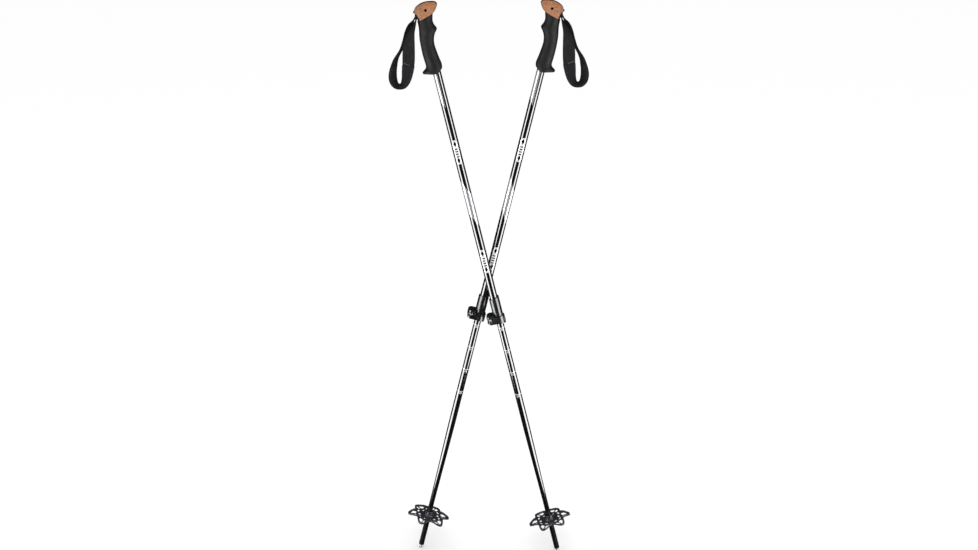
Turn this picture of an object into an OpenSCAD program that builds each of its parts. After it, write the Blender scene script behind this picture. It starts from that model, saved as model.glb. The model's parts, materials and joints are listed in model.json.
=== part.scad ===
// A crossed pair of two-section trekking poles with cork heads, wrist straps,
// external lever locks and six-pointed baskets. Millimetres, +Z up, tips on z = 0.
// Each pole is drawn upright in its own frame (z along the shaft from the tip,
// +x to the front of the grip) and then leaned into the pair by place().

/* [Pair] */
// Length of each pole as set, tip to top of head
pole_len = 1199; // [1180:1:1220]
// Lean of each pole from the vertical, degrees
lean = 13.3; // [12.5:0.1:14]
// Distance along each pole from the tip to the crossing
cross_at = 630; // [622:1:640]
// Clearance between the two shafts where they cross
cross_gap = 0.3; // [0.2:0.1:2]

/* [Shafts] */
// Outside diameter of the upper tube
upper_d = 16; // [16:0.5:16]
// Wall thickness of the upper tube
upper_wall = 0.8; // [0.7:0.05:0.8]
// Outside diameter of the parallel part of the lower tube
lower_d = 14; // [13.6:0.1:14]
// Wall thickness of the lower tube
lower_wall = 0.9; // [0.8:0.1:1]
// Height at which the lower tube starts to taper
taper_top = 293; // [280:1:300]
// Height at which the taper ends
taper_end = 125; // [110:1:135]
// Outside diameter of the thin end of the lower tube
lower_end_d = 10; // [9.6:0.1:10.2]
// Height of the top of the lower tube, inside the upper one
lower_top = 820; // [780:5:840]

/* [Lock] */
// Height of the bottom edge of the clamp collar
lock_z = 535; // [530:1:540]
// Length of the collar on its lever side
collar_len = 51; // [48:1:56]
// Outside diameter of the collar
collar_d = 20.7; // [20.6:0.1:21]
// Height of the lever at its pivot
lever_h = 19; // [18:0.5:20]

/* [Grip and head] */
// Width of the cork head from side to side
head_w = 34; // [33:0.5:36]
// Width of the strap webbing
strap_w = 25; // [24:0.5:25]
// Thickness of the strap webbing
strap_t = 2.4; // [2:0.1:2.4]

/* [Basket] */
// Radius to the points of the basket
basket_r = 44; // [40:0.5:46]
// Radius to the bottom of the notches between the points
notch_r = 31; // [30:0.5:33]
// Height of the basket plate above the tip
basket_z = 76; // [74:1:78]

/* [Hidden] */
$fn = 64;
PARTS = [
    "upper_tube", "grip", "head_core", "cork_cheek_l", "cork_cheek_r", "head_bolt", "head_nut",
    "strap_wedge", "strap_tail", "strap", "strap_pad", "lock_collar", "clamp_liner",
    "lock_lever", "pivot_barrel", "tension_screw", "barrel_nut", "lower_tube", "guide_bush",
    "tip_ferrule", "carbide_tip", "basket"
];
SIDES = ["a", "b"];

eps = 0.01;
fit = 0.05;              // radial clearance of a running fit
free = 0.4;              // gap beside a piece that swings past another

upper_r = upper_d / 2;
upper_bore = upper_r - upper_wall;
lower_r = lower_d / 2;
lower_bore = lower_r - lower_wall;
end_r = lower_end_d / 2;
end_bore = end_r - lower_wall;
pole_y = upper_r + cross_gap / 2;
tip_x = cross_at * sin(lean);

// Tip: carbide claw, ferrule shank, thread for the basket
claw_r = 2.75;
neck_r = 2.3;
claw_len = 3;
shank_z = 7;
shank_r = 5.4;
thread_z = 66;
thread_top = 94;
thread_r = 6;

// Heights at the top of the pole
tube_top = pole_len - 49;
grip_bottom = pole_len - 135;
slot_x = -11;                        // strap exit at the rear of the head
slot_z = pole_len - 23;              // middle of the strap channel
exit_z = pole_len - 26.5;

// Lock: lever pivot beside the collar
collar_r = collar_d / 2;
band_in = collar_r + free;
band_out = 12.4;
pivot_x = -17;
pivot_y = -6.5;
knuckle_r = 7;
barrel_r = 2.5;
screw_r = 1.5;
screw_head_r = 3.2;
nut_y = 8.6;
ear_front = 0.6;                     // nearest face of the front ear
slit_w = 1.2;
slit_y = 4;
ear_back = 12.4;
ear_h = 19;
lever_mid = lock_z + 1 + lever_h / 2;
lever_drop = 3;                      // how far its thumb end reaches under the pivot's part
lever_end = 22;                      // angle where the lever's band ends

// ---- placing -------------------------------------------------------------

// Leans pole "a", with its tip to the right, or "b", turned half round.
module place(side) {
    rotate([0, 0, side == "a" ? 0 : 180])
        translate([tip_x, -pole_y, claw_r * sin(lean)])
            rotate([0, -lean, 0]) children();
}

// Upright frame at the strap's exit, for what hangs from it.
module hang(side) {
    place(side) translate([slot_x, 0, exit_z]) rotate([0, lean, 0])
        mirror([0, side == "a" ? 0 : 1, 0]) children();
}

// The lever side of a lock points to -X on both poles.
module lock_frame(side) {
    place(side) rotate([0, 0, side == "a" ? 0 : 180]) children();
}

// ---- curves --------------------------------------------------------------

// Point at parameter u between b and c on the curve through a, b, c and d.
function bend(a, b, c, d, u) = 0.5 * (2 * b + (c - a) * u + (2 * a - 5 * b + 4 * c - d) * u * u
    + (3 * b - a - 3 * c + d) * u * u * u);
// Smooth open curve through the points p, with n steps in each span.
function smooth(p, n) = concat([for (i = [0:len(p) - 2]) for (k = [0:n - 1])
    bend(p[max(i - 1, 0)], p[i], p[i + 1], p[min(i + 2, len(p) - 1)], k / n)], [p[len(p) - 1]]);
// Smooth closed curve through the points p.
function smooth_loop(p, n) = [for (i = [0:len(p) - 1]) for (k = [0:n - 1])
    bend(p[(i + len(p) - 1) % len(p)], p[i], p[(i + 1) % len(p)], p[(i + 2) % len(p)], k / n)];

// Solid through rings of points, all with the same number of points.
module skin(rings) {
    m = len(rings[0]);
    last = (len(rings) - 1) * m;
    polyhedron(
        points = [for (r = rings) for (q = r) q],
        faces = concat(
            [[for (k = [m - 1:-1:0]) k]],
            [for (i = [0:len(rings) - 2]) for (k = [0:m - 1]) for (half = [0, 1])
                let (a = i * m + k, b = i * m + (k + 1) % m)
                half == 0 ? [a, b, b + m] : [a, b + m, a + m]],
            [[for (k = [0:m - 1]) last + k]]),
        convexity = 8);
}

// ---- grip and head -------------------------------------------------------

// Grip sections: height under the top of the pole, rear, front and half width.
grip_rows = [
    [135, -25, 11.5, 14.6], [131, -25.6, 12.4, 15.8], [126, -19.6, 13.2, 14.8],
    [120, -17.4, 13, 14], [110, -17.9, 11.4, 13.6], [97, -18.3, 9.8, 13.2],
    [84, -18, 8.8, 12.8], [72, -17.2, 10.4, 12.8], [62, -16, 15, 13.2],
    [54, -14.4, 20.8, 14], [46, -13, 17.2, 14.4], [36, -12.4, 16.4, 14.6], [18, -12.4, 22, 15]
];
// Outline of the head from the side, from its rear nub over the top to the front.
head_points = [
    [-14, -15], [-10.5, -7.5], [-2.5, -2.6], [8, -0.2], [19, -1], [28, -3.6],
    [31.6, -9], [26.5, -18], [20, -26], [18, -38], [0, -42], [-8.5, -40], [-11, -27]
];
head_mid = [7, -20];
cheek_gap = 3.4;                     // half width of the core between the cheeks
joint_tilt = 17;                     // slope of the line between cork and grip
joint_drop = 28.4;                   // and its depth under the top, on the shaft's axis
fullness = 0.4;                      // how square the head's sides are

function oval(row, n) = [for (k = [0:n - 1]) let (a = 360 * k / n, mid = (row[1] + row[2]) / 2)
    [mid + (row[2] - row[1]) / 2 * cos(a), row[3] * sin(a), pole_len - row[0]]];

// Half space above the line between cork and grip.
module above_joint() {
    translate([0, 0, pole_len - joint_drop]) rotate([0, -joint_tilt, 0])
        translate([-60, -60, 0]) cube([120, 120, 80]);
}

module head_form() {
    outline = smooth_loop(head_points, 3);
    steps = 16;
    skin([for (i = [0:steps]) let (a = -80 + 160 * i / steps, f = pow(cos(a), fullness))
        [for (q = outline) [
            head_mid[0] + (q[0] - head_mid[0]) * f,
            -head_w / 2 * sin(a) / sin(80),
            pole_len + head_mid[1] + (q[1] - head_mid[1]) * f]]]);
}

// The flat inner core, standing a little proud of the cork along the top.
module core_outline(grow) {
    translate([head_mid[0], pole_len + head_mid[1]]) scale(1 + grow)
        translate([-head_mid[0], -head_mid[1]]) polygon(smooth_loop(head_points, 3));
}

// Box of the core that holds the strap channel.
box_w = strap_w + 2.8;
box_front = 6;
channel_h = 9.2;
wall = 1.4;

module channel_box(grow) {
    translate([-40, -box_w / 2 - grow, slot_z - 20])
        cube([40 + box_front + grow, box_w + 2 * grow, 20 + channel_h / 2 + wall + grow]);
}

module upper_tube() {
    color("#141416") difference() {
        translate([0, 0, lock_z + 20]) cylinder(r = upper_r, h = tube_top - lock_z - 20);
        translate([0, 0, lock_z]) cylinder(r = upper_bore, h = tube_top);
    }
}

module grip() {
    color("#1b1c1f") difference() {
        skin([for (row = smooth(grip_rows, 2)) oval(row, 28)]);
        above_joint();
        translate([0, 0, grip_bottom - 5]) cylinder(r = upper_r + fit, h = 100);
        translate([0, 0, tube_top - 6]) cylinder(r = 10.5, h = 40);
    }
}

module head_core() {
    color("#202124") difference() {
        union() {
            intersection() {
                translate([0, cheek_gap, 0]) rotate([90, 0, 0])
                    linear_extrude(2 * cheek_gap) core_outline(0.012);
                above_joint();
            }
            intersection() {
                channel_box(0);
                head_form();
                above_joint();
            }
            translate([0, 0, tube_top - 25]) cylinder(r = upper_bore - fit, h = 45);
            translate([0, 0, tube_top + eps]) cylinder(r = 10.4, h = 14);
            // nub at the rear end of the core
            translate([-14.2, cheek_gap, pole_len - 14.2]) rotate([90, 0, 0]) cylinder(r = 1.7, h = 2 * cheek_gap);
        }
        // channel for the strap and wedge, open to the rear
        translate([-40, -strap_w / 2 - 0.4, slot_z - channel_h / 2])
            cube([40, strap_w + 0.8, channel_h]);
        head_cross(1.6);
        translate([0, 0, tube_top - 30]) cylinder(r = 4.5, h = 26);
    }
}

// A hole across the head on the line of its bolt.
bolt_x = 9;
bolt_z = -13;
bolt_r = 2.7;                        // heads of the bolt and its sleeve nut
module head_cross(r) {
    translate([bolt_x, 30, pole_len + bolt_z]) rotate([90, 0, 0]) cylinder(r = r, h = 60);
}

module cork_cheek(dir) {
    color("#c98d5a") difference() {
        intersection() {
            head_form();
            above_joint();
            translate([-40, dir > 0 ? cheek_gap + fit : -40 - cheek_gap - fit, pole_len - 60])
                cube([90, 40, 80]);
        }
        channel_box(fit);
        head_cross(bolt_r + fit);
        translate([0, 0, tube_top - 5]) cylinder(r = 10.5, h = 20);
    }
}
module cork_cheek_l() { cork_cheek(-1); }
module cork_cheek_r() { cork_cheek(1); }

// Cross bolt with its head sunk in the near cheek, and the sleeve nut opposite.
module head_bolt() {
    color("#3a3b3d") translate([bolt_x, 0, pole_len + bolt_z]) rotate([90, 0, 0]) difference() {
        union() {
            translate([0, 0, -7]) cylinder(r = 1.25, h = 17);
            translate([0, 0, 9]) cylinder(r = bolt_r, h = 3.4);
        }
        translate([0, 0, 11]) cylinder(r = 1.3, h = 2, $fn = 6);
    }
}
module head_nut() {
    color("#3a3b3d") translate([bolt_x, 0, pole_len + bolt_z]) rotate([-90, 0, 0]) difference() {
        translate([0, 0, 4]) cylinder(r = bolt_r, h = 8.4);
        translate([0, 0, 3]) cylinder(r = 1.25 + fit, h = 5);
        translate([0, 0, 11]) cylinder(r = 1.3, h = 2, $fn = 6);
    }
}

// Wedge above the strap, thicker at the rear so that it lets go as it comes out.
wedge_h = 3.6;
module strap_wedge() {
    top = slot_z + channel_h / 2 - 0.3;
    color("#111214") translate([0, strap_w / 2, 0]) rotate([90, 0, 0])
        linear_extrude(strap_w) polygon([
            [-1, top], [-13.4, top], [-13.8, top - 0.8], [-13.8, top - wedge_h + 0.6],
            [-13.2, top - wedge_h], [-1, top - 2.4]]);
}

// The strap's two ends lying in the channel.
module strap_tail() {
    low = slot_z - channel_h / 2 + 0.2;
    color("#15161a") translate([-9.5, -strap_w / 2, low]) cube([9, strap_w, 2 * strap_t]);
}

// ---- strap ---------------------------------------------------------------

root_x = -3.3;                       // strap hinge, from the exit
root_z = -2;
root_r = 2.9;
// The two edges of the webbing round its loop, near and far, from the exit.
strap_edges = [
    [[-1.8, -12.5, -3.4], [-1.8, 12.5, -3.4]], [[-3, -12.8, -13], [-7.2, 10.2, -13]],
    [[-5, -13, -27], [-18, 6.5, -29]], [[-5, -9, -45], [-26.5, 2, -49]],
    [[-5, -6, -65], [-29, 0, -67]], [[-5.8, -7, -86], [-29.5, -1, -86]],
    [[-9, -8, -104], [-30.5, 2, -103]], [[-15, -11, -121.5], [-31, 4, -117]],
    [[-25, -13, -133], [-33.5, 8, -128.5]], [[-41, -12, -134.5], [-38.5, 11, -129]],
    [[-51.5, -9, -127], [-41, 12, -120]], [[-55.5, -7, -114], [-41.5, 13, -108]],
    [[-53.5, -5, -99], [-40.5, 16, -96]], [[-47, -2, -81], [-37, 21, -81]],
    [[-35, 3, -63], [-28, 27, -64]], [[-29, 6, -46], [-19, 28, -47]],
    [[-24, 3, -27], [-12, 25, -28]], [[-16.8, -2.8, -12], [-7.4, 19.4, -13]],
    [[-5.2, -12.5, -1.2], [-5.2, 12.5, -1.2]]
];
strap_steps = 3;                     // rings in each span
pad_first = 16;                      // rings that the wrist padding covers
pad_last = 37;
pad_side = 0.7;
pad_face = 0.8;

function unit(v) = v / norm(v);
// Rings of a band along the edges, with half thickness t, wider by w on each side.
function band_rings(w, t) = let (
        near = smooth([for (e = strap_edges) e[0]], strap_steps),
        far = smooth([for (e = strap_edges) e[1]], strap_steps),
        n = len(near) - 1)
    [for (i = [0:n]) let (
        i0 = max(i - 1, 0), i1 = min(i + 1, n),
        side = w * unit(near[i] - far[i]),
        face = t * unit(cross(near[i1] + far[i1] - near[i0] - far[i0], near[i] - far[i])))
        [near[i] + side - face, far[i] - side - face,
         far[i] - side + face, near[i] + side + face]];

module strap_root() {
    translate([root_x, strap_w / 2, root_z]) rotate([90, 0, 0]) cylinder(r = root_r, h = strap_w);
}

module strap() {
    color("#131417") union() {
        skin(band_rings(0, strap_t / 2));
        strap_root();
    }
}

function span(list, first, last) = [for (i = [first:last]) list[i]];
module strap_pad() {
    color("#1d1e22") difference() {
        skin(span(band_rings(pad_side, strap_t / 2 + pad_face), pad_first, pad_last));
        skin(span(band_rings(0.03, strap_t / 2 + 0.03), pad_first - 1, pad_last + 1));
    }
}

// ---- lock ----------------------------------------------------------------

module upright(r, z0, z1) {
    translate([pivot_x, pivot_y, z0]) cylinder(r = r, h = z1 - z0);
}
module across(r, y0, y1) {
    translate([pivot_x, y0, lever_mid]) rotate([-90, 0, 0]) cylinder(r = r, h = y1 - y0);
}

// Collar over the end of the upper tube, split below it into two clamping ears.
module lock_collar() {
    color("#1d1f24") difference() {
        union() {
            difference() {
                translate([0, 0, lock_z]) cylinder(r = collar_r, h = collar_len + 12);
                translate([0, 0, lock_z + collar_len + 2.5]) rotate([0, -13, 0])
                    translate([-40, -40, 0]) cube([80, 80, 40]);
            }
            intersection() {
                translate([pivot_x - 7, ear_front, lever_mid - ear_h / 2])
                    cube([-pivot_x + 7, ear_back - ear_front, ear_h]);
                union() {
                    across(ear_h / 2 - 0.8, ear_front, ear_back);
                    translate([pivot_x, ear_front, lever_mid - ear_h / 2])
                        cube([14, 9, ear_h]);
                }
            }
        }
        translate([0, 0, lock_z + 22]) cylinder(r = upper_r + 0.02, h = 60);
        translate([0, 0, lock_z - 1]) cylinder(r = upper_r - 0.02, h = 30);
        translate([-30, slit_y, lock_z - 1]) cube([27, slit_w, 22]);
        across(screw_r + 0.3, -5, ear_back + 1);
        translate([pivot_x, nut_y, lever_mid - 12]) cylinder(r = barrel_r, h = 24);
    }
}

// Plastic liner that fills the step from the collar's bore to the lower tube.
module clamp_liner() {
    color("#2c2d31") difference() {
        translate([0, 0, lock_z + 0.4]) cylinder(r = upper_r - 0.06, h = 19);
        translate([0, 0, lock_z - 1]) cylinder(r = lower_r + fit, h = 30);
        translate([-20, slit_y, lock_z - 1]) cube([18, slit_w, 30]);
    }
}

module lever_plan() {
    difference() {
        union() {
            translate([pivot_x, pivot_y]) circle(r = knuckle_r);
            intersection() {
                circle(r = band_out);
                polygon([[-9, -30], [30, -30], [30, 30 * tan(lever_end)], [0, 0]]);
            }
            polygon([
                [pivot_x, pivot_y - knuckle_r], [-1, -band_out + 0.03], [-1, -8], [-9, -8],
                [pivot_x + 3, pivot_y]]);
        }
        circle(r = band_in);
    }
}

// Flip lever: a cam knuckle in two cheeks on the barrel, and a band round the collar.
module lock_lever() {
    z0 = lock_z + 1;
    color("#26282d") difference() {
        intersection() {
            translate([0, 0, z0 - lever_drop]) linear_extrude(lever_h + lever_drop) lever_plan();
            union() {
                // the band sits lower than the knuckle and widens to the thumb end
                translate([0, 25, z0]) rotate([90, 0, 0]) linear_extrude(60) polygon([
                    [pivot_x, 0.4], [-9.5, 0], [0, -1], [6, -1.8], [12.4, -lever_drop],
                    [14, -lever_drop], [14, lever_h - 4.5], [9.5, lever_h - 4.5],
                    [3, lever_h - 6], [-6.5, lever_h - 6], [-10, lever_h - 0.8],
                    [pivot_x, lever_h - 0.4]]);
                // the knuckle is rounded off above and below
                across(lever_h / 2 - 0.4, -20, 20);
            }
        }
        upright(barrel_r + fit, lock_z - 1, lock_z + 40);
        // room for the screw and its head as the knuckle turns round them
        translate([pivot_x, pivot_y, lever_mid - screw_head_r - free])
            cylinder(r = 9.4, h = 2 * (screw_head_r + free));
        // shallow grip groove under the thumb end
        translate([band_out + 0.6, -1, z0]) cylinder(r = 1.5, h = 11);
    }
}

module pivot_barrel() {
    color("#9a9ca0") difference() {
        upright(barrel_r, lever_mid - 7, lever_mid + 7);
        across(screw_r + fit, -20, 20);
        // flat seat for the screw's head
        translate([pivot_x - 5, pivot_y - 5, lever_mid - screw_head_r - 0.2])
            cube([10, 5 - 2, 2 * screw_head_r + 0.4]);
    }
}

// Head in front of the barrel, thread in the cross nut behind the slit.
module tension_screw() {
    seat = pivot_y - 2.05;
    color("#b5b7ba") difference() {
        union() {
            across(screw_r, seat - 1, nut_y + barrel_r + 1);
            across(screw_head_r, seat - 3.2, seat);
        }
        translate([pivot_x, seat - 4, lever_mid]) rotate([-90, 0, 0])
            cylinder(r = 1.45, h = 2.4, $fn = 6);
    }
}

module barrel_nut() {
    color("#9a9ca0") difference() {
        translate([pivot_x, nut_y, lever_mid - 6]) cylinder(r = barrel_r - 0.02, h = 12);
        across(screw_r + fit, -20, 20);
    }
}

// ---- lower shaft ---------------------------------------------------------

module lower_tube() {
    color("#121214") rotate_extrude() polygon([
        [end_bore, thread_z + 0.1], [end_r, thread_z + 0.1], [end_r, taper_end],
        [lower_r, taper_top], [lower_r, lower_top], [lower_bore, lower_top],
        [lower_bore, taper_top], [end_bore, taper_end]]);
}

// Guide plug: a shank in the lower tube and a flange that runs in the upper one.
module guide_bush() {
    color("#55575c") rotate_extrude() polygon([
        [3.5, lower_top - 18], [lower_bore - 0.02, lower_top - 18],
        [lower_bore - 0.02, lower_top + eps], [upper_bore - fit, lower_top + eps],
        [upper_bore - fit, lower_top + 9], [upper_bore - 1.4, lower_top + 10.5],
        [3.5, lower_top + 10.5]]);
}

module tip_ferrule() {
    color("#17181a") difference() {
        union() {
            rotate_extrude() polygon([
                [0, shank_z], [shank_r - 0.5, shank_z], [shank_r, shank_z + 0.8],
                [shank_r, thread_z - 2], [thread_r - 0.4, thread_z], [0, thread_z]]);
            translate([0, 0, thread_z]) cylinder(r = thread_r - 0.4, h = thread_top - thread_z);
            // thread crests
            for (k = [0:4]) translate([0, 0, thread_z + 7 + 4 * k]) cylinder(r = thread_r, h = 1.8);
        }
        translate([0, 0, thread_z]) cylinder(r = end_r + 0.02, h = 40);
        translate([0, 0, shank_z - 1]) cylinder(r = neck_r + 0.02, h = 19);
    }
}

// Carbide claw: a flared end with a hollow point on a stem in the ferrule.
module carbide_tip() {
    color("#8b8d90") rotate_extrude() polygon([
        [0, 0.9], [claw_r - 0.7, 0], [claw_r, 0], [claw_r, claw_len - 1.2],
        [neck_r - 0.4, claw_len + 1.4], [neck_r - 0.4, shank_z], [neck_r, shank_z],
        [neck_r, shank_z + 17], [0, shank_z + 17]]);
}

// ---- basket --------------------------------------------------------------

points = 6;
arm_step = 360 / points;
arm_turn = 9;
plate_t = 2.4;
rim_h = 4;
hub_r = 8.2;
function polar(r, a) = [r * cos(a), r * sin(a)];

// Star with blunt points and shallow notches, drawn in by a constant inset.
module star(inset) {
    polygon([for (i = [0:points - 1]) for (k = [-6:6]) let (
        a = i * arm_step + arm_turn + (abs(k) < 2 ? k * 4.5 : sign(k) * (4.5 + (abs(k) - 1) * 5.1)),
        away = abs(k) < 2 ? 0 : (abs(k) - 1) / 5,
        r = notch_r + (basket_r - notch_r) * pow(1 - away, 1.15))
        polar(r - inset, a)]);
}

module basket() {
    hub_top = basket_z + 12;
    color("#33353b") difference() {
        union() {
            translate([0, 0, basket_z]) linear_extrude(plate_t) star(0);
            translate([0, 0, basket_z - 0.8]) linear_extrude(rim_h) difference() {
                star(0);
                star(2);
            }
            translate([0, 0, basket_z - 4]) cylinder(r = hub_r + 1.2, h = 5);
            translate([0, 0, basket_z]) cylinder(r1 = hub_r + 2.4, r2 = hub_r, h = 12);
        }
        translate([0, 0, basket_z - 10]) cylinder(r = thread_r + fit, h = 40);
        for (i = [0:points - 1]) rotate([0, 0, i * arm_step + arm_turn]) {
            // two windows beside the rib of each arm
            for (s = [-1, 1]) translate([0, 0, basket_z - 5]) linear_extrude(12)
                polygon([[40.2, s * 0.9], [27.5, s * 0.9], [26, s * 8], [32.5, s * 8.6]]);
            // slot between hub and arm, and a smaller one under the notch
            translate([17.5, -3.6, basket_z - 5]) cube([4, 7.2, 12]);
            rotate([0, 0, arm_step / 2]) translate([22, -4, basket_z - 5]) cube([3.6, 8, 12]);
            // vertical notch in the rim of the hub
            rotate([0, 0, arm_step / 2]) translate([hub_r - 2.2, -1.2, hub_top - 6]) cube([6, 2.4, 10]);
        }
    }
}

// ---- assembly ------------------------------------------------------------

for (s = SIDES) {
    place(s) upper_tube();
    place(s) grip();
    place(s) head_core();
    place(s) cork_cheek_l();
    place(s) cork_cheek_r();
    place(s) head_bolt();
    place(s) head_nut();
    place(s) strap_wedge();
    place(s) strap_tail();
    hang(s) strap();
    hang(s) strap_pad();
    lock_frame(s) lock_collar();
    lock_frame(s) clamp_liner();
    lock_frame(s) lock_lever();
    lock_frame(s) pivot_barrel();
    lock_frame(s) tension_screw();
    lock_frame(s) barrel_nut();
    place(s) lower_tube();
    place(s) guide_bush();
    place(s) tip_ferrule();
    place(s) carbide_tip();
    place(s) basket();
}
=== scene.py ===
"""The looks of a crossed pair of trekking poles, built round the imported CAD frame.

Lengths are in metres. Each pole has its own frame: z runs up the shaft from the
tip, x points to the front of the grip. Pieces are made in that frame and then put
in place, so that both poles share one set of functions.
"""
import json
import math

import bmesh
import bpy
from mathutils import Matrix, Vector, noise


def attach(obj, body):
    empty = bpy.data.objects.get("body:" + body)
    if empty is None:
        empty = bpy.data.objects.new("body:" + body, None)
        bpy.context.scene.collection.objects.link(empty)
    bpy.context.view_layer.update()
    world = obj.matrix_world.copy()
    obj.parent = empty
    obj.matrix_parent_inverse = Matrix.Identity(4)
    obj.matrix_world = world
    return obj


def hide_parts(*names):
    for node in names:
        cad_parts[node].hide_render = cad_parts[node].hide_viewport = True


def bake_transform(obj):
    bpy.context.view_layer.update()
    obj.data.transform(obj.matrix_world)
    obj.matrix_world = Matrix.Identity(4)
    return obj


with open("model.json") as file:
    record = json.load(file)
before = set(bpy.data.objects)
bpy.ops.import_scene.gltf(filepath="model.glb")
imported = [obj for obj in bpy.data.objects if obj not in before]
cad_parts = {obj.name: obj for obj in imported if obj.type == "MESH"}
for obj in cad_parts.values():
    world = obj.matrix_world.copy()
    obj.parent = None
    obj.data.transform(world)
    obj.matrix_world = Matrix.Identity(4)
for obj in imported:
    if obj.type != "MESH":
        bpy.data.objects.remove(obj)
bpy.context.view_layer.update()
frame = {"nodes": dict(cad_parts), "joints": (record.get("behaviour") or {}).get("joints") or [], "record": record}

MM = 0.001
SIDES = ("a", "b")

# The digits that the length marks need, as rows of cells
DIGITS = {
    "0": ("111", "101", "101", "101", "111"),
    "1": ("010", "110", "010", "010", "111"),
    "2": ("111", "001", "111", "100", "111"),
    "5": ("111", "100", "111", "001", "111"),
}

# Heights along the shaft, from the tip
POLE_TOP = 1.199
TIP_MOUNT = 0.032            # the tip mount's place on the ferrule
GRIP_BOTTOM = POLE_TOP - 0.135
STRAP_EXIT = (-0.011, 0, POLE_TOP - 0.0265)
LEVER_MID = 0.5455
PIVOT = (-0.017, -0.0065)    # lever pivot beside the shaft
LOWER_R = 0.007
BASKET_TURN = math.radians(9)    # from the front of the pole to a point of the basket

# Printing on the upper shaft, by height
PANEL_BOTTOM = 0.993
BAND_BOTTOM, BAND_TOP = 0.760, 0.8275
BADGE_MIDDLES = (0.901, 0.670)

# The two edges of the webbing round its loop, near and far, from the strap's exit,
# in millimetres. The first two and the last two rows lie in the head's channel.
STRAP_EDGES = [
    ((9.6, -12.4, 2.6), (9.6, 12.4, 2.6)), ((0.2, -12.4, 0.3), (0.2, 12.4, 0.3)),
    ((-1.8, -12.4, -3.4), (-1.8, 12.4, -3.4)), ((-3, -12.8, -13), (-7.2, 10.2, -13)),
    ((-5, -13, -27), (-18, 6.5, -29)), ((-5, -9, -45), (-26.5, 2, -49)),
    ((-5, -6, -65), (-29, 0, -67)), ((-5.8, -7, -86), (-29.5, -1, -86)),
    ((-9, -8, -104), (-30.5, 2, -103)), ((-15, -11, -121.5), (-31, 4, -117)),
    ((-25, -13, -133), (-33.5, 8, -128.5)), ((-41, -12, -134.5), (-38.5, 11, -129)),
    ((-51.5, -9, -127), (-41, 12, -120)), ((-55.5, -7, -114), (-41.5, 13, -108)),
    ((-53.5, -5, -99), (-40.5, 16, -96)), ((-47, -2, -81), (-37, 21, -81)),
    ((-35, 3, -63), (-28, 27, -64)), ((-29, 6, -46), (-19, 28, -47)),
    ((-24, 3, -27), (-12, 25, -28)), ((-16.8, -2.8, -12), (-7.4, 19.4, -13)),
    ((-5.2, -12.4, -1.2), (-5.2, 12.4, -1.2)), ((2.2, -12.4, 3.3), (2.2, 12.4, 3.3)),
    ((9, -12.4, 4.9), (9, 12.4, 4.9)),
]
STRAP_STEPS = 10             # rings in each span between those rows
PAD_SPANS = (7.3, 14.3)      # rows between which the wrist padding lies
BAR_TACK_SPAN = 7.0
BAR_TACK_STITCHES = 14
WEBBING_HALF = 0.00095       # half the webbing's thickness

# Heights of the length marks on the lower shaft, and their numbers
LENGTH_MARKS = {0.5235: "120", 0.4735: "115", 0.4235: "110", 0.3735: "105"}


# ---- frames ------------------------------------------------------------------

def pole_frame(side):
    """The matrix from a pole's own frame to the shared one."""
    joint = next(j for j in frame["joints"] if j["name"] == "telescope_" + side)
    mount = next(m for m in frame["record"]["mounts"] if m["name"] == "tip_" + side)
    up = Vector(joint["axis"]).normalized()
    across = Vector((0, 1 if side == "a" else -1, 0))
    front = across.cross(up)
    origin = Vector(mount["pos_m"]) - TIP_MOUNT * up
    return Matrix.Translation(origin) @ Matrix((front, across, up)).transposed().to_4x4()


def lock_frame(side):
    """The pole's frame, turned on pole b so that both locks point the same way."""
    turn = 0 if side == "a" else math.pi
    return pole_frame(side) @ Matrix.Rotation(turn, 4, "Z")


def hang_frame(side):
    """Upright frame at the strap's exit, mirrored on pole b."""
    place = Matrix.Translation(pole_frame(side) @ Vector(STRAP_EXIT))
    return place @ Matrix.Diagonal((1 if side == "a" else -1, 1, 1, 1))


# ---- materials ---------------------------------------------------------------

class Field:
    """A number that varies over a surface. Arithmetic on it makes Math nodes."""

    def __init__(self, surface, socket):
        self.surface, self.socket = surface, socket

    def op(self, operation, *others):
        inputs = dict(enumerate((self, *others)))
        made = self.surface.node("ShaderNodeMath", inputs, operation=operation)
        return Field(self.surface, made.outputs[0])

    def __add__(self, other):
        return self.op("ADD", other)

    def __sub__(self, other):
        return self.op("SUBTRACT", other)

    def __mul__(self, other):
        return self.op("MULTIPLY", other)

    def __truediv__(self, other):
        return self.op("DIVIDE", other)

    def above(self, limit):
        return self.op("GREATER_THAN", limit)

    def below(self, limit):
        return self.op("LESS_THAN", limit)

    def around(self, middle, half):
        """1 within half of middle, and 0 elsewhere."""
        return (self - middle).op("ABSOLUTE").below(half)

    def either(self, other):
        return self.op("MAXIMUM", other)

    def span(self, low, high, to_low=0.0, to_high=1.0):
        """Eases from to_low at low to to_high at high."""
        inputs = {"Value": self, "From Min": low, "From Max": high,
                  "To Min": to_low, "To Max": to_high}
        made = self.surface.node("ShaderNodeMapRange", inputs, interpolation_type="SMOOTHSTEP")
        return Field(self.surface, made.outputs["Result"])


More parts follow.
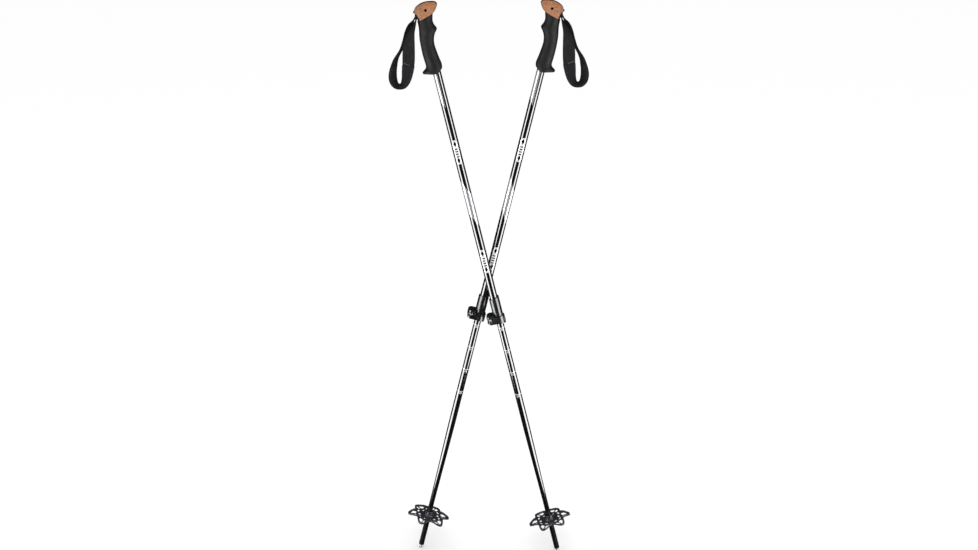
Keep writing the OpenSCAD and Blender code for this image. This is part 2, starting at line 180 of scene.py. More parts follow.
class Surface:
    """A procedural material on the Principled shader."""

    def __init__(self, name, colour, roughness, **sockets):
        self.material = bpy.data.materials.new(name)
        self.material.use_nodes = True
        self.tree = self.material.node_tree
        self.shader = self.tree.nodes["Principled BSDF"]
        self.set("Base Color", (*colour, 1))
        self.set("Roughness", roughness)
        for socket, value in sockets.items():
            self.set(socket.replace("_", " "), value)

    def feed(self, socket, value):
        if isinstance(value, Field):
            value = value.socket
        if isinstance(value, bpy.types.NodeSocket):
            self.tree.links.new(value, socket)
        else:
            socket.default_value = value

    def set(self, socket, value):
        self.feed(self.shader.inputs[socket], value)

    def node(self, kind, inputs=None, **settings):
        made = self.tree.nodes.new(kind)
        for key, value in settings.items():
            setattr(made, key, value)
        for key, value in (inputs or {}).items():
            self.feed(made.inputs[key], value)
        return made

    def coords(self, matrix=None, stretch=(1, 1, 1)):
        """Object coordinates in metres, in the frame of matrix if it is given."""
        vector = self.node("ShaderNodeTexCoord").outputs["Object"]
        if matrix is not None:
            inputs = {"Vector": vector, "Location": matrix.to_translation(),
                      "Rotation": matrix.to_euler()}
            vector = self.node("ShaderNodeMapping", inputs, vector_type="TEXTURE").outputs[0]
        if tuple(stretch) != (1, 1, 1):
            inputs = {"Vector": vector, "Scale": stretch}
            vector = self.node("ShaderNodeMapping", inputs).outputs[0]
        return vector

    def axes(self, vector):
        made = self.node("ShaderNodeSeparateXYZ", {0: vector})
        return [Field(self, made.outputs[k]) for k in range(3)]

    def noise(self, vector, scale, detail=3.0, rough=0.55):
        inputs = {"Vector": vector, "Scale": scale, "Detail": detail, "Roughness": rough}
        made = self.node("ShaderNodeTexNoise", inputs)
        return Field(self, made.outputs["Fac"])

    def cells(self, vector, scale, feature="F1"):
        """Voronoi distance and, for F1, a random number for each cell."""
        made = self.node("ShaderNodeTexVoronoi", {"Vector": vector, "Scale": scale}, feature=feature)
        distance = Field(self, made.outputs["Distance"])
        if feature != "F1":
            return distance
        return distance, self.axes(made.outputs["Color"])[0]

    def blend(self, factor, low, high):
        """Colour from low to high as factor goes from 0 to 1."""
        made = self.node("ShaderNodeMix", data_type="RGBA")
        self.feed(made.inputs[0], factor)
        for place, colour in ((6, low), (7, high)):
            self.feed(made.inputs[place], (*colour, 1) if isinstance(colour, tuple) else colour)
        return made.outputs[2]

    def edges(self, low=0.52, high=0.62):
        """1 along worn outer edges."""
        made = self.node("ShaderNodeNewGeometry")
        return Field(self, made.outputs["Pointiness"]).span(low, high)

    def bump(self, height, depth):
        """Relief of the given depth in metres, for a height from 0 to 1."""
        made = self.node("ShaderNodeBump", {"Height": height, "Distance": depth, "Strength": 1.0})
        self.set("Normal", made.outputs["Normal"])


def lacquered_shaft(name, matrix, prints):
    """Gloss black lacquer over drawn tube, with the printing that prints() gives."""
    made = Surface(name, (0.003, 0.003, 0.004), 0.12, Coat_Weight=0.6, Coat_Roughness=0.05,
                   Specular_IOR_Level=0.7)
    place = made.coords(matrix)
    silver, white = prints(*made.axes(place))
    drawn = made.noise(made.coords(matrix, (900, 900, 12)), 1.0, 4)
    flecks = made.noise(place, 60, 5)
    colour = made.blend(flecks.span(0.35, 0.75), (0.002, 0.002, 0.003), (0.006, 0.006, 0.007))
    rough = drawn.span(0.35, 0.7, 0.08, 0.15) + white * 0.25
    if silver is not None:
        metal = made.blend(drawn.span(0.3, 0.7), (0.30, 0.305, 0.32), (0.40, 0.405, 0.42))
        colour = made.blend(silver, colour, metal)
        rough = rough + silver * 0.16
        made.set("Metallic", silver * 0.35)
    made.set("Base Color", made.blend(white, colour, (0.72, 0.73, 0.74)))
    made.set("Roughness", rough)
    made.bump(drawn * 0.4 + made.noise(place, 420, 2) * 0.6, 0.000006)
    return made.material


def upper_prints(x, y, z):
    """Silver panel under the grip, a slanted silver band and two patterned badges."""
    panel = x.below(0.0004) * (z + x * 1.9).above(PANEL_BOTTOM)
    band = (z + x * 2.1).above(BAND_BOTTOM) * (z + x * 2.1).below(BAND_TOP)
    across = x.op("ABSOLUTE")
    badges = None
    for middle in BADGE_MIDDLES:
        up = z - middle
        away = up.op("ABSOLUTE")
        shape = across.below(0.0047) * away.below(0.0245) * (across + away * 0.35).below(0.0112)
        diamonds = (across + (away - 0.0170).op("ABSOLUTE") * 0.55).below(0.0033)
        bars = away.below(0.0104) * (up / 0.0052).op("FRACT").below(0.46) * across.below(0.0036)
        badge = shape - shape * diamonds.either(bars)
        badges = badge if badges is None else badges.either(badge)
    return panel.either(band), badges


def lower_prints(x, y, z):
    """A white ring at each length mark, every 50 mm."""
    rings = None
    for mark in LENGTH_MARKS:
        ring = z.around(mark, 0.0006)
        rings = ring if rings is None else rings.either(ring)
    return None, rings


def moulded_rubber():
    made = Surface("grip_rubber", (0.003, 0.003, 0.004), 0.66, Specular_IOR_Level=0.14)
    place = made.coords()
    grain, tone = made.cells(place, 1500)
    cloud = made.noise(place, 70, 4)
    made.set("Base Color", made.blend(cloud * 0.7 + tone * 0.3, (0.0015, 0.0017, 0.0020),
                                      (0.0055, 0.0060, 0.0070)))
    made.set("Roughness", cloud.span(0.3, 0.7, 0.55, 0.72) - made.edges() * 0.12)
    made.bump(grain * 0.6 + made.noise(place, 3200, 2) * 0.4, 0.00009)
    return made.material


def natural_cork():
    """Pressed cork: pale and dark granules and pits, with painted shade darkening the crevices between granules.
    """
    made = Surface("cork", (0.6, 0.3, 0.13), 0.7, Specular_IOR_Level=0.3)
    place = made.coords()
    wobble = made.node("ShaderNodeTexNoise", {"Vector": place, "Scale": 380.0, "Detail": 3.0})
    shifted = made.node("ShaderNodeVectorMath", {0: wobble.outputs["Color"]}, operation="SCALE")
    shifted.inputs["Scale"].default_value = 0.0022
    bent = made.node("ShaderNodeVectorMath", {0: place, 1: shifted.outputs[0]}).outputs[0]
    grain, tone = made.cells(bent, 420)
    seams = made.cells(bent, 420, "DISTANCE_TO_EDGE").span(0.0, 0.11, 1.0, 0.0)
    fine, fine_tone = made.cells(bent, 1300)
    cloud = made.noise(place, 95, 4)
    tan = made.blend(tone, (0.29, 0.105, 0.040), (0.50, 0.225, 0.092))
    warm = made.blend(cloud.span(0.35, 0.7), tan, made.blend(fine_tone, (0.32, 0.120, 0.046),
                                                             (0.47, 0.200, 0.082)))
    specks = tone.above(0.90).either(fine_tone.above(0.945)) * fine.below(0.62)
    # painted shade: the crevices between granules are darkened towards dark brown
    crevice_shaded = made.blend(seams * 0.35, warm, (0.12, 0.035, 0.012))
    made.set("Base Color", made.blend(specks * 0.75, crevice_shaded, (0.055, 0.018, 0.008)))
    made.set("Roughness", cloud.span(0.2, 0.8, 0.6, 0.8))
    made.bump(grain * 0.25 + fine * 0.25 + cloud * 0.25 - specks * 0.5 - seams * 0.35, 0.00022)
    return made.material


def moulded_plastic(name, colour, roughness, worn, grain=2400, depth=0.00002, **sockets):
    """Injection-moulded plastic with a fine texture, paler along its worn edges."""
    made = Surface(name, colour, roughness, **sockets)
    place = made.coords()
    cloud = made.noise(place, 55, 4)
    scuffs = made.noise(made.coords(stretch=(300, 2200, 500)), 1.0, 5)
    base = made.blend(cloud, tuple(0.75 * c for c in colour), tuple(1.25 * c for c in colour))
    wear = made.edges() * scuffs.span(0.42, 0.62)
    made.set("Base Color", made.blend(wear * 0.8, base, worn))
    made.set("Roughness", cloud.span(0.3, 0.7, roughness - 0.06, roughness + 0.06)
             + scuffs.span(0.55, 0.7) * 0.06)
    made.bump(made.noise(place, grain, 2) * 0.8 + scuffs * 0.2, depth)
    return made.material


def brushed_metal(name, dark, light, roughness, stretch=(2500, 2500, 90)):
    """Bare metal with brushed lines and faint stains."""
    made = Surface(name, light, roughness, Metallic=1.0)
    lines = made.noise(made.coords(stretch=stretch), 1.0, 4)
    stain = made.noise(made.coords(), 240, 4)
    made.set("Base Color", made.blend(lines * 0.6 + stain * 0.4, dark, light))
    made.set("Roughness", stain.span(0.3, 0.7, roughness - 0.08, roughness + 0.1))
    made.bump(lines, 0.000015)
    return made.material


def weave_coords(made):
    """Across and along a strap, in metres, from the piece's own map."""
    vector = made.node("ShaderNodeUVMap", uv_map="weave").outputs["UV"]
    across, along, _ = made.axes(vector)
    return vector, across, along


def woven_webbing():
    """Ribbed polyester webbing: columns of yarn that alternate over and under, with painted shade in the hollows
    of the weave.
    """
    made = Surface("webbing", (0.004, 0.004, 0.005), 0.82, Specular_IOR_Level=0.12,
                   Sheen_Weight=0.02, Sheen_Roughness=0.5)
    vector, across, along = weave_coords(made)
    columns = across / 0.00125
    step = (columns.op("FLOOR") / 2).op("FRACT") * 2
    yarn = ((along / 0.0011 + step * 0.5) * (2 * math.pi)).op("SINE") * 0.5 + 0.5
    ridge = (columns.op("FRACT") * math.pi).op("SINE")
    fuzz = made.noise(made.coords(), 5200, 2)
    relief = yarn * ridge
    worn = made.noise(vector, 90, 4)
    # colour: painted shade, darker in the weave's hollows and paler on the raised yarn, mixed with patchy wear
    painted_shade_and_wear = relief * 0.65 + worn * 0.35
    made.set("Base Color", made.blend(painted_shade_and_wear, (0.0012, 0.0013, 0.0017), (0.0085, 0.0088, 0.0110)))
    made.set("Roughness", worn.span(0.3, 0.7, 0.74, 0.88))
    made.bump(relief * 0.8 + fuzz * 0.2, 0.00022)
    return made.material


def knitted_padding():
    """Soft spacer knit: rows of small round meshes, with painted shade in each mesh hole."""
    made = Surface("padding", (0.005, 0.005, 0.007), 0.9, Specular_IOR_Level=0.12,
                   Sheen_Weight=0.03, Sheen_Roughness=0.45)
    vector, across, along = weave_coords(made)
    row = (along / 0.0017).op("FLOOR") * 0.5
    u = (across / 0.0019 + row).op("FRACT") - 0.5
    v = (along / 0.0017).op("FRACT") - 0.5
    hole = (u * u + v * v).span(0.03, 0.16)
    fuzz = made.noise(made.coords(), 4200, 3)
    worn = made.noise(vector, 70, 4)
    # colour: painted shade darkens each mesh hole, mixed with patchy wear
    painted_shade_and_wear = hole * 0.6 + worn * 0.4
    made.set("Base Color", made.blend(painted_shade_and_wear, (0.0016, 0.0018, 0.0026), (0.0100, 0.0105, 0.0140)))
    made.bump(hole * 0.8 + fuzz * 0.2, 0.0003)
    return made.material


def twisted_thread(name, dark, light):
    """Sewing thread with a fine twist."""
    made = Surface(name, light, 0.7, Sheen_Weight=0.2)
    twist = made.noise(made.coords(stretch=(3000, 3000, 6000)), 1.0, 2)
    made.set("Base Color", made.blend(twist, dark, light))
    made.bump(twist, 0.00006)
    return made.material


def printed_ink():
    """Slightly patchy white ink."""
    made = Surface("printed_ink", (0.8, 0.8, 0.8), 0.45)
    patchy = made.noise(made.coords(), 900, 4)
    made.set("Base Color", made.blend(patchy.span(0.25, 0.5), (0.40, 0.40, 0.41),
                                      (0.72, 0.72, 0.73)))
    made.bump(patchy, 0.00001)
    return made.material


def make_materials():
    """The finish of each material slot; the shafts' depend on their own pole's frame."""
    looks = {
        "grip_rubber": moulded_rubber(),
        "cork": natural_cork(),
        "black_plastic": moulded_plastic("black_plastic", (0.004, 0.004, 0.005), 0.42,
                                         (0.03, 0.03, 0.03), Specular_IOR_Level=0.2),
        "dark_steel": brushed_metal("dark_steel", (0.012, 0.012, 0.013), (0.035, 0.035, 0.038), 0.4),
        "webbing": woven_webbing(),
        "padding": knitted_padding(),
        "lock_plastic": moulded_plastic("lock_plastic", (0.005, 0.006, 0.008), 0.24,
                                        (0.05, 0.05, 0.055), Coat_Weight=0.2,
                                        Coat_Roughness=0.15, Specular_IOR_Level=0.5),
        "liner_plastic": moulded_plastic("liner_plastic", (0.05, 0.05, 0.055), 0.5,
                                         (0.1, 0.1, 0.1)),
        "steel": brushed_metal("steel", (0.36, 0.36, 0.38), (0.66, 0.66, 0.68), 0.3),
        "ferrule_plastic": moulded_plastic("ferrule_plastic", (0.003, 0.003, 0.004), 0.36,
                                           (0.03, 0.03, 0.03), Specular_IOR_Level=0.2),
        "carbide": brushed_metal("carbide", (0.16, 0.16, 0.17), (0.36, 0.36, 0.38), 0.42),
        "basket_plastic": moulded_plastic("basket_plastic", (0.020, 0.020, 0.028), 0.4,
                                          (0.07, 0.07, 0.08), grain=1800, depth=0.00004,
                                          Specular_IOR_Level=0.35),
    }
    for side in SIDES:
        matrix = lock_frame(side)
        looks["black_anodised_" + side] = lacquered_shaft(
            "upper_shaft_" + side, matrix, upper_prints)
        looks["black_anodised_lower_" + side] = lacquered_shaft(
            "lower_shaft_" + side, matrix, lower_prints)
    looks["pale_thread"] = twisted_thread("pale_thread", (0.05, 0.05, 0.05), (0.16, 0.16, 0.16))
    looks["dark_thread"] = twisted_thread("dark_thread", (0.006, 0.006, 0.007), (0.03, 0.03, 0.034))
    looks["ink"] = printed_ink()
    return looks


# ---- mesh helpers --------------------------------------------------------------

def add_piece(name, mesh, material, body, replaced=()):
    """Adds a mesh as a piece that rides on a body and takes a slot's finish."""
    if isinstance(mesh, bmesh.types.BMesh):
        data = bpy.data.meshes.new(name)
        mesh.to_mesh(data)
        mesh.free()
        mesh = data
    mesh.materials.clear()
    mesh.materials.append(material)
    piece = bpy.data.objects.new(name, mesh)
    bpy.context.scene.collection.objects.link(piece)
    if body:
        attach(piece, body)
    if replaced:
        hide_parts(*replaced)
    return piece


def copy_of(*nodes):
    """A welded bmesh of CAD nodes."""
    bm = bmesh.new()
    for node in nodes:
        bm.from_mesh(frame["nodes"][node].data)
    bmesh.ops.remove_doubles(bm, verts=bm.verts, dist=2e-6)
    return bm


def bevelled(node, width, angle=28):
    """A copy of a CAD node with its edges rounded."""
    bm = copy_of(node)
    bmesh.ops.dissolve_limit(bm, angle_limit=math.radians(1), verts=bm.verts, edges=bm.edges)
    sharp = [e for e in bm.edges
             if e.is_manifold and e.calc_face_angle(0) > math.radians(angle)]
    bmesh.ops.bevel(bm, geom=sharp, offset=width, segments=2, profile=0.6,
                    affect="EDGES", clamp_overlap=True)
    for face in bm.faces:
        face.smooth = True
    return bm


def remeshed(nodes, voxel, rounds):
    """A smooth, evenly meshed copy of CAD nodes, for sculpting."""
    data = bpy.data.meshes.new("remesh")
    bm = copy_of(*nodes)
    bm.to_mesh(data)
    bm.free()
    holder = bpy.data.objects.new("remesh", data)
    bpy.context.scene.collection.objects.link(holder)
    remesh = holder.modifiers.new("remesh", "REMESH")
    remesh.mode, remesh.voxel_size, remesh.use_smooth_shade = "VOXEL", voxel, True
    smooth = holder.modifiers.new("smooth", "SMOOTH")
    smooth.factor, smooth.iterations = 0.5, rounds
    shaped = holder.evaluated_get(bpy.context.evaluated_depsgraph_get())
    result = bpy.data.meshes.new_from_object(shaped)
    bpy.data.objects.remove(holder)
    bpy.data.meshes.remove(data)
    return result


def sculpt(mesh, matrix, move):
    """Moves each vertex as move(point, normal) says, in the frame of matrix."""
    inverse, turn = matrix.inverted(), matrix.to_3x3().inverted()
    normals = [turn @ vertex.normal for vertex in mesh.vertices]
    for vertex, normal in zip(mesh.vertices, normals):
        vertex.co = matrix @ move(inverse @ vertex.co, normal)


def add_ring_strip(bm, rings, closed=True):
    """Faces between rings of vertices; each ring is closed on itself."""
    for near, far in zip(rings, rings[1:] + rings[:1] if closed else rings[1:]):
        count = len(near)
        for k in range(count):
            bm.faces.new((near[k], near[(k + 1) % count], far[(k + 1) % count], far[k]))


def add_tube(bm, path, radius, sides=8, closed=False):
    """A round tube along a path, with caps unless it is closed."""
    rings = []
    count = len(path)
    for i, point in enumerate(path):
        before = path[i - 1] if closed or i else path[0]
        after = path[(i + 1) % count] if closed or i < count - 1 else path[-1]
        along = (after - before).normalized()
        side = along.orthogonal() if not rings else last_side - last_side.project(along)
        side.normalize()
        last_side = side
        other = along.cross(side)
        size = radius[i] if isinstance(radius, (list, tuple)) else radius
        turns = [2 * math.pi * k / sides for k in range(sides)]
        rings.append([bm.verts.new(point + size * (side * math.cos(t) + other * math.sin(t)))
                      for t in turns])
    add_ring_strip(bm, rings, closed)
    if not closed:
        bm.faces.new(rings[0][::-1])
        bm.faces.new(rings[-1])


def finished(bm):
    """The same bmesh with outward normals and smooth shading."""
    bmesh.ops.recalc_face_normals(bm, faces=bm.faces)
    for face in bm.faces:
        face.smooth = True
    return bm


# ---- grip and head -------------------------------------------------------------

def make_grip(side, looks):
    """Moulded grip with a scalloped skirt and shallow grooves for the fingers."""
    matrix = pole_frame(side)

    def shape(point, normal):
        angle = math.atan2(point.y, point.x)
        low = max(0.0, 1 - (point.z - GRIP_BOTTOM) / 0.014)
        lobe = abs(math.sin(angle)) ** 3
        point.z += low * (0.0012 - 0.0040 * lobe + 0.0022 * max(0.0, math.cos(angle)))
        point.x -= 0.0015 * low * max(0.0, -math.cos(angle)) ** 4
        flank = max(0.0, 1 - abs(point.z - POLE_TOP + 0.095) / 0.024) ** 0.5
        wave = max(0.0, math.sin(point.z * 2 * math.pi / 0.0042)) ** 2
        front = max(0.0, math.cos(angle)) ** 0.6
        return point - normal * 0.00035 * wave * flank * front

    mesh = remeshed(["grip_" + side], 0.75 * MM, 7)
    sculpt(mesh, matrix, shape)
    add_piece("grip_moulding_" + side, mesh, looks["grip_rubber"], "upper_" + side,
              ["grip_" + side])


def make_cork(side, looks):
    """Two cork cheeks with small pits and softened edges."""
    def shape(point, normal):
        pit = max(0.0, noise.noise(point * 620) - 0.34)
        swell = noise.noise(point * 140)
        return point - normal * (0.0011 * pit - 0.00010 * swell)

    for cheek in ("l", "r"):
        node = f"cork_cheek_{cheek}_{side}"
        mesh = remeshed([node], 0.45 * MM, 5)
        sculpt(mesh, Matrix.Identity(4), shape)
        add_piece("cork_" + cheek + "_" + side, mesh, looks["cork"], "upper_" + side,
                  [node])


# ---- strap ---------------------------------------------------------------------

def bend(a, b, c, d, u):
    """Point at u between b and c on the smooth curve through a, b, c and d."""
    return 0.5 * (2 * b + (c - a) * u + (2 * a - 5 * b + 4 * c - d) * u ** 2
                  + (3 * b - a - 3 * c + d) * u ** 3)


def strap_edge(column, spans):
    """Points on one edge of the webbing, at these places counted in rows."""
    rows = [Vector(row[column]) * MM for row in STRAP_EDGES]
    last = len(rows) - 1
    made = []
    for span in spans:
        i = min(int(span), last - 1)
        made.append(bend(rows[max(i - 1, 0)], rows[i], rows[i + 1], rows[min(i + 2, last)],
                         span - i))
    return made


class Band:
    """A strip of the strap between two rows, with its own directions at each step."""

    def __init__(self, first, last, steps):
        count = max(2, round((last - first) * steps))
        self.spans = [first + (last - first) * i / count for i in range(count + 1)]
        self.near = strap_edge(0, self.spans)
        self.far = strap_edge(1, self.spans)
        self.middle = [(a + b) / 2 for a, b in zip(self.near, self.far)]
        self.along = [0.0]
        for a, b in zip(self.middle, self.middle[1:]):
            self.along.append(self.along[-1] + (b - a).length)

    def face(self, i):
        """Unit vector out of the band's face at step i."""
        before, after = max(i - 1, 0), min(i + 1, len(self.middle) - 1)
        forward = self.middle[after] - self.middle[before]
        return forward.cross(self.near[i] - self.far[i]).normalized()

    def point(self, i, across, out):
        """Point at across, from -1 at the near edge to 1 at the far one, out of the face."""
        side = (self.far[i] - self.near[i]) / 2
        return self.middle[i] + side * across + self.face(i) * out

    def solid(self, half, widen, crown):
        """A closed solid: half its thickness at each step, and crown(across) of it."""
        columns = [math.sin(math.pi / 2 * k / 9) for k in range(-9, 10)]
        ring = [(s, crown(s)) for s in columns] + [(s, -crown(s)) for s in columns[-2:0:-1]]
        back = len(columns)      # the ring's first place on the far face
        bm = bmesh.new()
        weave = bm.loops.layers.uv.new("weave")
        rings, place = [], {}
        for i in range(len(self.middle)):
            wide = (self.far[i] - self.near[i]).length / 2
            made = []
            for k, (s, out) in enumerate(ring):
                vertex = bm.verts.new(self.point(i, s * (1 + widen / wide), out * half[i]))
                place[vertex] = (s * wide + (0.05 if k >= back else 0), self.along[i])
                made.append(vertex)
            rings.append(made)
        add_ring_strip(bm, rings, closed=False)
        bm.faces.new(rings[0][::-1])
        bm.faces.new(rings[-1])
        for face in bm.faces:
            for loop in face.loops:
                loop[weave].uv = place[loop.vert]
        return finished(bm)


def set_in_place(bm, matrix):
    """Moves a bmesh by matrix, and turns its faces right again if that mirrors it."""
    bm.transform(matrix)
    if matrix.determinant() < 0:
        bmesh.ops.reverse_faces(bm, faces=bm.faces)
    return bm


def webbing_section(across):
    """Flat, with rounded edges."""
    return (1 - abs(across) ** 14) ** 0.5


def pad_section(across):
    """Crowned between two sewn channels."""
    crown = (1 - abs(across) ** 6) ** 0.6
    channel = math.exp(-((abs(across) - 0.80) / 0.05) ** 2)
    return crown * (0.86 + 0.14 * (1 - across ** 2)) - 0.22 * channel


def add_stitch(bm, start, end, lift, radius):
    """One visible stitch: a short thread that dips at both ends."""
    path, sizes = [], []
    for k in range(5):
        u = k / 4
        path.append(start.lerp(end, u) + lift * (math.sin(math.pi * u) - 0.5))
        sizes.append(radius * (0.55 + 0.45 * math.sin(math.pi * u)))
    add_tube(bm, path, sizes, 6)


def make_strap(side, looks):
    """Webbing loop, its padded lower half, the sewn lines and a bar tack."""
    matrix = hang_frame(side)
    body = "wrist_strap_" + side
    whole = Band(0, len(STRAP_EDGES) - 1, STRAP_STEPS)
    thin = [WEBBING_HALF] * len(whole.middle)
    webbing = add_piece("strap_webbing_" + side,
                        set_in_place(whole.solid(thin, 0, webbing_section), matrix),
                        looks["webbing"], None, ["strap_" + side, "strap_tail_" + side])
    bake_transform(webbing)

    pad_band = Band(*PAD_SPANS, STRAP_STEPS)
    length = pad_band.along[-1]
    ends = [min(1.0, (min(s, length - s) + 0.0012) / 0.006) ** 0.5 for s in pad_band.along]
    half = [0.0011 + 0.0009 * e for e in ends]
    pad = add_piece("strap_padding_" + side,
                    set_in_place(pad_band.solid(half, 0.0006, pad_section), matrix),
                    looks["padding"], body, ["strap_pad_" + side])

    sewing = bmesh.new()
    pitch = 3
    fine = Band(PAD_SPANS[0] + 0.1, PAD_SPANS[1] - 0.1, STRAP_STEPS * 2)
    for across in (-0.80, 0.80):
        for sign in (-1, 1):
            for i in range(0, len(fine.middle) - 2, pitch):
                out = 0.00165 * sign
                add_stitch(sewing, fine.point(i, across, out), fine.point(i + 2, across, out),
                           fine.face(i + 1) * 0.00025 * sign, 0.00028)
    add_piece("strap_sewing_" + side, set_in_place(finished(sewing), matrix),
              looks["dark_thread"], body)

    # the tack slopes down towards the near edge
    tack = bmesh.new()
    row = Band(BAR_TACK_SPAN, BAR_TACK_SPAN + 0.36, 100)
    gaps = BAR_TACK_STITCHES - 1
    for sign in (-1, 1):
        for k in range(BAR_TACK_STITCHES):
            across, low = 0.72 - 0.97 * k / gaps, round(22 * k / gaps)
            add_stitch(tack, row.point(low, across, 0.0011 * sign),
                       row.point(low + 7, across - 0.03, 0.0011 * sign),
                       row.face(low) * 0.0002 * sign, 0.0003)
    add_piece("strap_bar_tack_" + side, set_in_place(finished(tack), matrix),
              looks["pale_thread"], body)


# ---- lock, basket and tip --------------------------------------------------------

def make_lock_details(side, looks):
    """A raised ring round the screw's window and ribs under the lever's thumb end."""
    matrix = lock_frame(side)
    bm = bmesh.new()
    knuckle, ring, rib_place = 0.0070, 0.0056, 0.01245
    path = []
    for k in range(48):
        t = 2 * math.pi * k / 48
        x = ring * math.cos(t)
        path.append(Vector((PIVOT[0] + x, PIVOT[1] - math.sqrt(knuckle ** 2 - x ** 2),
                            LEVER_MID + ring * math.sin(t))))
    add_tube(bm, path, 0.0005, 8, closed=True)
    for k in range(6):
        angle = math.radians(-34 + 8 * k)
        out = Vector((math.cos(angle), math.sin(angle), 0)) * rib_place
        low, high = LEVER_MID - 0.0100, LEVER_MID + 0.0030
        rib = [out + Vector((0, 0, low + (high - low) * u)) for u in (0, 0.06, 0.5, 0.94, 1)]
        add_tube(bm, rib, [0.00005, 0.0004, 0.00045, 0.0004, 0.00005], 8)
    bm.transform(matrix)
    add_piece("lever_relief_" + side, finished(bm), looks["lock_plastic"], "lever_" + side)


def make_basket(side, looks):
    """The basket with its webs arched up between the points."""
    def shape(point, normal):
        out = min(1.0, max(0.0, (math.hypot(point.x, point.y) - 0.012) / 0.025))
        web = 0.5 - 0.5 * math.cos(6 * (math.atan2(point.y, point.x) - BASKET_TURN))
        point.z += (0.0040 * web - 0.0012 * (1 - web)) * out ** 1.5
        return point

    mesh = remeshed(["basket_" + side], 0.7 * MM, 3)
    sculpt(mesh, pole_frame(side), shape)
    add_piece("basket_moulding_" + side, mesh, looks["basket_plastic"], "basket_" + side,
              ["basket_" + side])


def make_numbers(side, looks):
    """The length in centimetres printed under each ring on the lower shaft."""
    bm = bmesh.new()
    cell_w, cell_h, radius = 0.00068, 0.00082, LOWER_R + 0.00002
    for mark, label in LENGTH_MARKS.items():
        for index, digit in enumerate(label):
            for row, line in enumerate(DIGITS[digit]):
                for column, filled in enumerate(line):
                    if filled == "0":
                        continue
                    left = (index * 4 + column - 5.5) * cell_w
                    top = mark - 0.0019 - row * cell_h
                    corners = [(left, top), (left, top - cell_h),
                               (left + cell_w, top - cell_h), (left + cell_w, top)]
                    bm.faces.new([bm.verts.new((radius * math.sin(s / radius),
                                                -radius * math.cos(s / radius), z))
                                  for s, z in corners])
    bmesh.ops.remove_doubles(bm, verts=bm.verts, dist=1e-6)
    bm.transform(lock_frame(side))
    add_piece("length_numbers_" + side, bm, looks["ink"], "lower_" + side)


ROUNDED = {                  # CAD nodes that get rounded edges: width in millimetres
    "head_core": 0.35, "strap_wedge": 0.35, "lock_collar": 0.5, "lock_lever": 0.6,
    "tension_screw": 0.2, "head_bolt": 0.15, "head_nut": 0.15,
}


def make_rounded(side, looks, owners, slots):
    """Copies of hard CAD pieces, with their edges rounded."""
    for part, width in ROUNDED.items():
        node = f"{part}_{side}"
        piece = add_piece(f"{part}_rounded_{side}", bevelled(node, width * MM),
                          looks[slots[node]], owners[node], [node])
        piece.modifiers.new("normals", "WEIGHTED_NORMAL")


# ---- studio ----------------------------------------------------------------------

CAMERA_PLACE = (0, -3.3, 1.847)
CAMERA_DOWN = math.radians(20.42)
LENS, SENSOR = 64.97, 36     # millimetres
MIRRORED = 0.02              # how bright floor and sky are in glossy reflections


def add_panel(name, place, aim, size, power, fills=True):
    """A soft rectangular light; without fills it only makes highlights."""
    lamp = bpy.data.lights.new(name, "AREA")
    lamp.shape, lamp.size, lamp.size_y, lamp.energy = "RECTANGLE", size[0], size[1], power
    holder = bpy.data.objects.new(name, lamp)
    holder.location = place
    holder.rotation_euler = (Vector(aim) - Vector(place)).to_track_quat("-Z", "Y").to_euler()
    holder.visible_camera = False
    holder.visible_diffuse = fills
    bpy.context.scene.collection.objects.link(holder)


def make_camera():
    lens = bpy.data.cameras.new("camera")
    lens.lens, lens.sensor_width = LENS, SENSOR
    holder = bpy.data.objects.new("camera", lens)
    holder.location = CAMERA_PLACE
    holder.rotation_euler = (math.radians(90) - CAMERA_DOWN, 0, 0)
    bpy.context.scene.collection.objects.link(holder)
    bpy.context.scene.camera = holder


def unlike_in_gloss(tree, seen, mirrored):
    """A number that is seen to the eye and mirrored in glossy reflections."""
    rays = tree.nodes.new("ShaderNodeLightPath")
    made = tree.nodes.new("ShaderNodeMapRange")
    tree.links.new(rays.outputs["Is Glossy Ray"], made.inputs["Value"])
    made.inputs["To Min"].default_value = seen
    made.inputs["To Max"].default_value = mirrored
    return made.outputs["Result"]


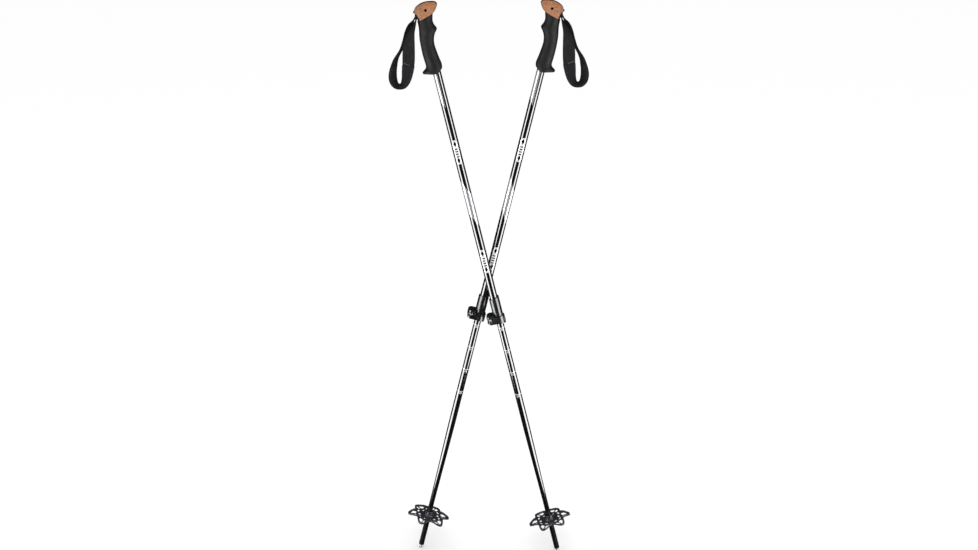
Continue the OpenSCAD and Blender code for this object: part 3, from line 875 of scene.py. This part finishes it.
def make_floor():
    """A pale floor, dimmer where it is mirrored, as if flagged off the gloss."""
    bm = bmesh.new()
    bmesh.ops.create_grid(bm, x_segments=1, y_segments=1, size=14)
    data = bpy.data.meshes.new("floor")
    bm.to_mesh(data)
    bm.free()
    material = bpy.data.materials.new("floor")
    material.use_nodes = True
    tree = material.node_tree
    shader = tree.nodes["Principled BSDF"]
    shader.inputs["Roughness"].default_value = 0.9
    shader.inputs["Specular IOR Level"].default_value = 0.0
    grey = unlike_in_gloss(tree, 0.93, MIRRORED)
    tree.links.new(grey, shader.inputs["Base Color"])
    data.materials.append(material)
    floor = bpy.data.objects.new("floor", data)
    bpy.context.scene.collection.objects.link(floor)


def make_light():
    world = bpy.data.worlds.new("studio")
    bpy.context.scene.world = world
    world.use_nodes = True
    sky = world.node_tree.nodes["Background"]
    sky.inputs["Color"].default_value = (1, 1, 1, 1)
    world.node_tree.links.new(unlike_in_gloss(world.node_tree, 1.05, MIRRORED),
                              sky.inputs["Strength"])
    for side in (-1, 1):
        add_panel("strip", (0.825 * side, -0.476, 0.86), (0, 0, 1.32), (0.5, 1.88), 36,
                  fills=False)
    add_panel("front", (0, -3.0, 3.2), (0, 0, 0.6), (2.0, 1.0), 30)
    bpy.context.scene.view_settings.view_transform = "Standard"


# ---- assembly --------------------------------------------------------------------

def dress_cad_nodes(looks, slots):
    """Gives each CAD node the finish of its slot."""
    for node, piece in frame["nodes"].items():
        slot = slots[node]
        look = looks.get(slot) or looks[f"{slot}_{node[-1]}"]
        piece.data.materials.clear()
        piece.data.materials.append(look)


def main():
    make_camera()
    make_floor()
    make_light()
    looks = make_materials()
    slots = {row["node"]: row["material_slot"] for row in frame["record"]["subparts"]}
    owners = {node: body for body, nodes in frame["record"]["behaviour"]["bodies"].items()
              for node in nodes}
    dress_cad_nodes(looks, slots)
    for side in SIDES:
        make_grip(side, looks)
        make_cork(side, looks)
        make_strap(side, looks)
        make_rounded(side, looks, owners, slots)
        make_lock_details(side, looks)
        make_basket(side, looks)
        make_numbers(side, looks)


main()
